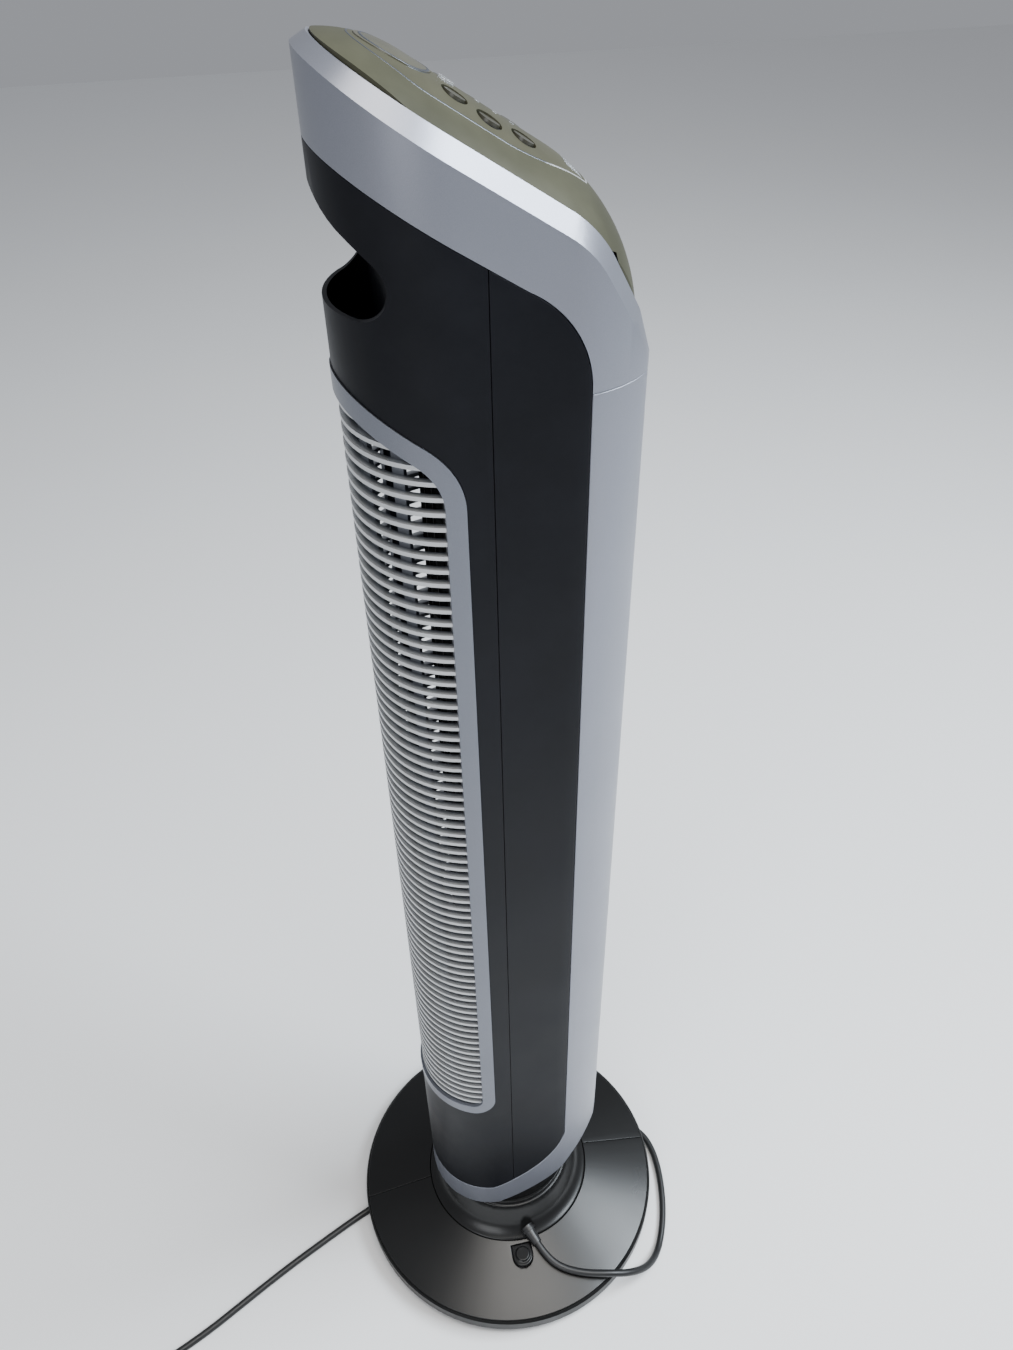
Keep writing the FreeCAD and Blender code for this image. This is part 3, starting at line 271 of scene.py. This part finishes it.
def clear_plastic(name):
    s = Shader(name, (0.9, 0.93, 0.96), 0.06, coat=0.4)
    s.set("Transmission Weight", 0.75)
    s.set("IOR", 1.49)
    s.gloss(s.noise(0.002, 2), 0.03, 0.12)
    return s.bump(s.noise(0.003, 2), 0.0001, 0.3).material


MATERIALS = {
    "black_satin_shell": satin_black,
    "silver_paint": silver_paint,
    "grille_silver": grille_paint_with_painted_shade,
    "frame_grey": lambda n: silver_paint(n, (0.14, 0.15, 0.18), (0.18, 0.19, 0.22), (0.32, 0.4)),
    "panel_satin": lambda n: satin_black(n, (0.045, 0.045, 0.03), (0.36, 0.44)),
    "fascia_film": lambda n: satin_black(n, (0.05, 0.049, 0.033), (0.32, 0.38)),
    "clear_lens": clear_plastic,
    "button_cap": lambda n: satin_black(n, (0.04, 0.039, 0.029), (0.28, 0.34), 0.4),
    "button_ring": lambda n: plain_plastic(n, (0.008, 0.008, 0.008)),
    "disc_face": lambda n: satin_black(n, (0.06, 0.058, 0.042), (0.24, 0.3), 0.4),
    "base_gloss": gloss_black,
    "base_satin": lambda n: satin_black(n, (0.005, 0.005, 0.005), (0.3, 0.4)),
    "inner_black": lambda n: satin_black(n, (0.004, 0.004, 0.004)),
    "foot_rubber": lambda n: plain_plastic(n, (0.012, 0.012, 0.012), (0.7, 0.85)),
    "steel": lambda n: bare_metal(n, (0.6, 0.6, 0.6)),
    "iron_weight": lambda n: bare_metal(n, (0.16, 0.15, 0.15), (0.5, 0.7), (1, 1, 1)),
    "nylon": lambda n: plain_plastic(n, (0.6, 0.59, 0.54)),
    "circuit_board": lambda n: plain_plastic(n, (0.015, 0.09, 0.035)),
    "blower_plastic": lambda n: satin_black(n, (0.005, 0.005, 0.005), (0.5, 0.6)),
    "motor_iron": lambda n: bare_metal(n, (0.33, 0.32, 0.31), (0.35, 0.5), (1, 1, 60)),
    "copper_winding": lambda n: bare_metal(n, (0.72, 0.33, 0.14), (0.2, 0.35), (1, 1, 40)),
    "cord_pvc": lambda n: plain_plastic(n, (0.009, 0.009, 0.0095), (0.36, 0.48), 0.0008),
    "plug_plastic": lambda n: plain_plastic(n, (0.012, 0.012, 0.013), (0.38, 0.5)),
    "plug_brass": lambda n: bare_metal(n, (0.8, 0.76, 0.62)),
    "tie_wire": lambda n: plain_plastic(n, (0.015, 0.015, 0.015)),
}
_made = {}


def finish_of(slot):
    if slot not in _made:
        _made[slot] = MATERIALS[slot](slot)
    return _made[slot]


def dress(obj, slot):
    obj.data.materials.clear()
    obj.data.materials.append(finish_of(slot))
    return obj


# ---- pieces ---------------------------------------------------------------------------------

def keep(name, mesh, body, slot, *nodes):
    """A finished mesh becomes a piece on a body, and stands for CAD nodes."""
    obj = bpy.data.objects.new(name, mesh)
    bpy.context.scene.collection.objects.link(obj)
    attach(obj, body)
    if nodes:
        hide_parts(*nodes)
    return dress(obj, slot)


def body_of(node):
    return frame["nodes"][node]["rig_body"]


SLOT_OF = {entry["node"]: entry["material_slot"] for entry in frame["record"]["subparts"]}


def dress_cad():
    for node, obj in frame["nodes"].items():
        dress(obj, SLOT_OF[node])


WELD = 0.000002
FLAT_TURN = math.radians(0.05)
EDGE_TURN = math.radians(30)


def softened(node, width, steps=2):
    """The CAD shape again with rounded edges, as a moulding has."""
    mesh = frame["nodes"][node].data.copy()
    work = bmesh.new()
    work.from_mesh(mesh)
    bmesh.ops.remove_doubles(work, verts=work.verts, dist=WELD)
    bmesh.ops.dissolve_limit(work, angle_limit=FLAT_TURN, verts=work.verts, edges=work.edges,
                             delimit={"NORMAL"})
    work.to_mesh(mesh)
    work.free()
    holder = bpy.data.objects.new(node + "_work", mesh)
    bpy.context.scene.collection.objects.link(holder)
    bevel = holder.modifiers.new("edges", "BEVEL")
    bevel.width = width
    bevel.segments = steps
    bevel.limit_method = "ANGLE"
    bevel.angle_limit = EDGE_TURN
    weights = holder.modifiers.new("normals", "WEIGHTED_NORMAL")
    weights.keep_sharp = True
    mesh.shade_smooth()
    graph = bpy.context.evaluated_depsgraph_get()
    made = bpy.data.meshes.new_from_object(holder.evaluated_get(graph))
    bpy.data.objects.remove(holder)
    return keep(node + "_moulded", made, body_of(node), SLOT_OF[node], node)


# ---- panel trim -----------------------------------------------------------------------------

# The crown is a tilted cylinder with rounded ends, in mm.
PANEL_TILT = math.radians(32.5)
CROWN_TOP, CROWN_RADIUS = 1081, 97.4
CROWN_REAR, REAR_ROUND = 35.6, 70
CROWN_FRONT, NOSE_ROUND = -42.7, 95
SEARCH_BELOW, SEARCH_ABOVE, SEARCH_END = 90, 60, 0.001

# The fascia's plan is two straight sides between a half circle and a blunt nose, in mm.
FASCIA_SIDE, SIDE_REAR, SIDE_FRONT, SIDE_STEPS = 31, 22, -12, 10
FASCIA_REAR, NOSE_FRONT, NOSE_SIDE = 53, -52, 13
CHEEK_RADIUS, NOSE_RADIUS = 78, 40
DISC_CENTRE, DISC_RADIUS = (0, 33), 17.0

# A band's edges are sunk below the crown, and its top is flat over most of its width.
EDGE_SUNK, FLAT_SHARE = -0.15, 0.7


def ring_points(centre, radius, count=72):
    """Plan of a circle that lies on the tilted panel."""
    return [(centre[0] + radius * math.cos(2 * math.pi * n / count),
             centre[1] + radius * math.sin(2 * math.pi * n / count) * math.cos(PANEL_TILT))
            for n in range(count)]


def arc_points(start, end, radius, count=16):
    """Points after start up to end; a positive radius bulges to the left of the way."""
    first, last = Vector(start), Vector(end)
    chord = last - first
    side = Vector((-chord.y, chord.x)).normalized() * math.copysign(1, radius)
    drop = math.sqrt(radius * radius - (chord.length / 2) ** 2)
    centre = (first + last) / 2 - side * drop
    half = math.asin(chord.length / 2 / abs(radius))
    spin = -math.copysign(2 * half, radius)
    arm = first - centre
    return [centre + Matrix.Rotation(spin * n / count, 2) @ arm for n in range(1, count + 1)]


def crown_height_at(x, y):
    """Height of the panel's crown over a point of the plan, by halving, in mm."""
    across, rise = math.cos(PANEL_TILT), math.sin(PANEL_TILT)
    low, high = CROWN_TOP - SEARCH_BELOW, CROWN_TOP + SEARCH_ABOVE
    while high - low > SEARCH_END:
        z = (low + high) / 2
        along = y * across + (z - CROWN_TOP) * rise
        above = CROWN_RADIUS - y * rise + (z - CROWN_TOP) * across
        radius = CROWN_RADIUS
        for reach, bend in ((along - CROWN_REAR, REAR_ROUND), (CROWN_FRONT - along, NOSE_ROUND)):
            if reach > 0:
                radius += math.sqrt(max(bend * bend - reach * reach, 0)) - bend
        if math.hypot(x, above) < radius:
            low = z
        else:
            high = z
    return low


def surface_band(name, points, width, lift, slot):
    """Thin closed band laid on the panel's crown, along points of the plan in mm."""
    rows = []
    count = len(points)
    for n, point in enumerate(points):
        along = (Vector(points[(n + 1) % count]) - Vector(points[n - 1])).normalized()
        out = Vector((along.y, -along.x)) * width / 2
        for share, height in ((-1, EDGE_SUNK), (-FLAT_SHARE, lift), (FLAT_SHARE, lift),
                              (1, EDGE_SUNK)):
            spot = Vector(point) + out * share
            rows.append(Vector((spot.x, spot.y, crown_height_at(spot.x, spot.y) + height)) * MM)
    faces = [(4 * n + k, 4 * n + k + 1, 4 * ((n + 1) % count) + k + 1, 4 * ((n + 1) % count) + k)
             for n in range(count) for k in range(3)]
    mesh = bpy.data.meshes.new(name)
    mesh.from_pydata(rows, [], faces)
    mesh.shade_smooth()
    work = bmesh.new()
    work.from_mesh(mesh)
    bmesh.ops.recalc_face_normals(work, faces=work.faces)
    work.to_mesh(mesh)
    work.free()
    return keep(name, mesh, "column", slot)


def make_panel_trim():
    """The pale line round the fascia and the ring round its display disc."""
    rear_right, rear_left = (FASCIA_SIDE, SIDE_REAR), (-FASCIA_SIDE, SIDE_REAR)
    front_left, front_right = (-FASCIA_SIDE, SIDE_FRONT), (FASCIA_SIDE, SIDE_FRONT)
    nose_left, nose_right = (-NOSE_SIDE, NOSE_FRONT), (NOSE_SIDE, NOSE_FRONT)
    tail = (0, FASCIA_REAR)
    side = SIDE_REAR - SIDE_FRONT
    outline = [Vector(rear_right)]
    outline += arc_points(rear_right, tail, -FASCIA_SIDE)
    outline += arc_points(tail, rear_left, -FASCIA_SIDE)
    outline += [Vector((-FASCIA_SIDE, SIDE_REAR - side * n / SIDE_STEPS))
                for n in range(1, SIDE_STEPS + 1)]
    outline += arc_points(front_left, nose_left, -CHEEK_RADIUS)
    outline += arc_points(nose_left, nose_right, -NOSE_RADIUS)
    outline += arc_points(nose_right, front_right, -CHEEK_RADIUS)
    outline += [Vector((FASCIA_SIDE, SIDE_FRONT + side * n / SIDE_STEPS))
                for n in range(1, SIDE_STEPS)]
    surface_band("fascia_line", outline, width=1.0, lift=0.12, slot="grille_silver")
    surface_band("disc_ring", ring_points(DISC_CENTRE, DISC_RADIUS), width=1.6, lift=0.55,
                 slot="grille_silver")


# ---- mains cord -----------------------------------------------------------------------------

CORD_ROUTE = [
    (-92, -12, 46.5), (-106, -18.5, 43.5), (-118.5, -32, 40.2), (-127, -53, 38), (-132, -76, 37.2),
    (-134.5, -99, 31.5), (-128, -121, 17.5), (-111, -138, 4.4), (-87, -151, 3.6), (-60, -160, 3.6),
    (-31, -165.3, 3.6), (-6, -165.7, 3.6), (14, -160, 3.6), (29, -145, 3.6), (36, -122, 3.6),
    (38, -88, 3.6), (36, -32, 3.6), (30, 26, 3.6), (20, 80, 3.6), (8, 124, 3.6), (-5, 161, 3.6),
    (-23, 201, 3.6), (-44, 246, 3.6), (-66, 288, 3.6), (-89, 331, 3.6), (-110.5, 384, 3.6)]
TAIL_ROUTE = [(-199.5, 388, 7.5), (-194, 370, 5), (-186, 353, 4.4)]
COIL_CENTRE = Vector((-160, 412, 0))
CORD_RADIUS = 3.5


def coil_points():
    """Turns laid side by side and then on each other, a cord's width apart."""
    outer, inner, low, high = 42.0, 35.3, 3.6, 10.7
    layers = [(outer, low), (inner, low), (inner, high), (outer, high)]
    first_angle, per_turn, turns, crossing = 24, 18, 3.51, 0.2
    points = []
    for step in range(int(turns * per_turn) + 1):
        turn = step / per_turn
        layer = int(turn)
        ahead = min(layer + 1, len(layers) - 1)
        share = min(1.0, max(0.0, (turn - layer - (1 - crossing)) / crossing))
        radius = layers[layer][0] * (1 - share) + layers[ahead][0] * share
        height = layers[layer][1] * (1 - share) + layers[ahead][1] * share
        angle = math.radians(first_angle + 360 * turn)
        points.append((COIL_CENTRE.x + radius * math.cos(angle),
                       COIL_CENTRE.y + radius * math.sin(angle), height))
    return points


def spline_curve(name, points, radius):
    data = bpy.data.curves.new(name, "CURVE")
    data.dimensions = "3D"
    line = data.splines.new("NURBS")
    line.points.add(len(points) - 1)
    for spot, point in zip(line.points, points):
        spot.co = (*(Vector(point) * MM), 1)
        spot.radius = radius * MM
    line.order_u = 3
    line.use_endpoint_u = True
    line.resolution_u = 8
    data.bevel_depth = 1.0
    data.bevel_resolution = 5
    data.use_fill_caps = True
    obj = bpy.data.objects.new(name, data)
    bpy.context.scene.collection.objects.link(obj)
    return obj


def make_cord():
    cord = spline_curve("mains_cord", CORD_ROUTE + coil_points() + TAIL_ROUTE, CORD_RADIUS)
    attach(cord, "base")
    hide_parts("mains_cord_run", "mains_cord_coil", "mains_cord_tail")
    dress(cord, "cord_pvc")
    plug = softened("mains_plug", 0.0018, 3)
    pins = softened("plug_pins", 0.0006, 2)
    tie = softened("cord_tie", 0.0004, 2)


# Width of the rounded edge on each moulded piece, in metres.
SOFT_EDGES = {
    "rear_housing": 0.0012, "left_side_panel": 0.0007, "right_side_panel": 0.0007,
    "front_frame": 0.0007, "top_collar": 0.0009, "control_panel": 0.0012,
    "panel_fascia": 0.0003, "display_disc": 0.0006, "panel_windows": 0.0003,
    "intake_surround": 0.0012, "handle_liner": 0.0012, "base_cover_left": 0.0008,
    "base_cover_right": 0.0008, "base_tray": 0.0015, "neck": 0.0012,
    "latch_tongue": 0.0012, "turntable_drum": 0.0008, "underside_panel": 0.0006,
    "cord_grommet": 0.0008, "power_button": 0.0009, "speed_button": 0.0009,
    "swing_button": 0.0009, "timer_button": 0.0009, "mode_button": 0.0009,
    "lamp_button": 0.0009,
}

make_camera()
make_cord()
make_light()
make_floor()
dress_cad()
for node, width in SOFT_EDGES.items():
    softened(node, width)
make_panel_trim()
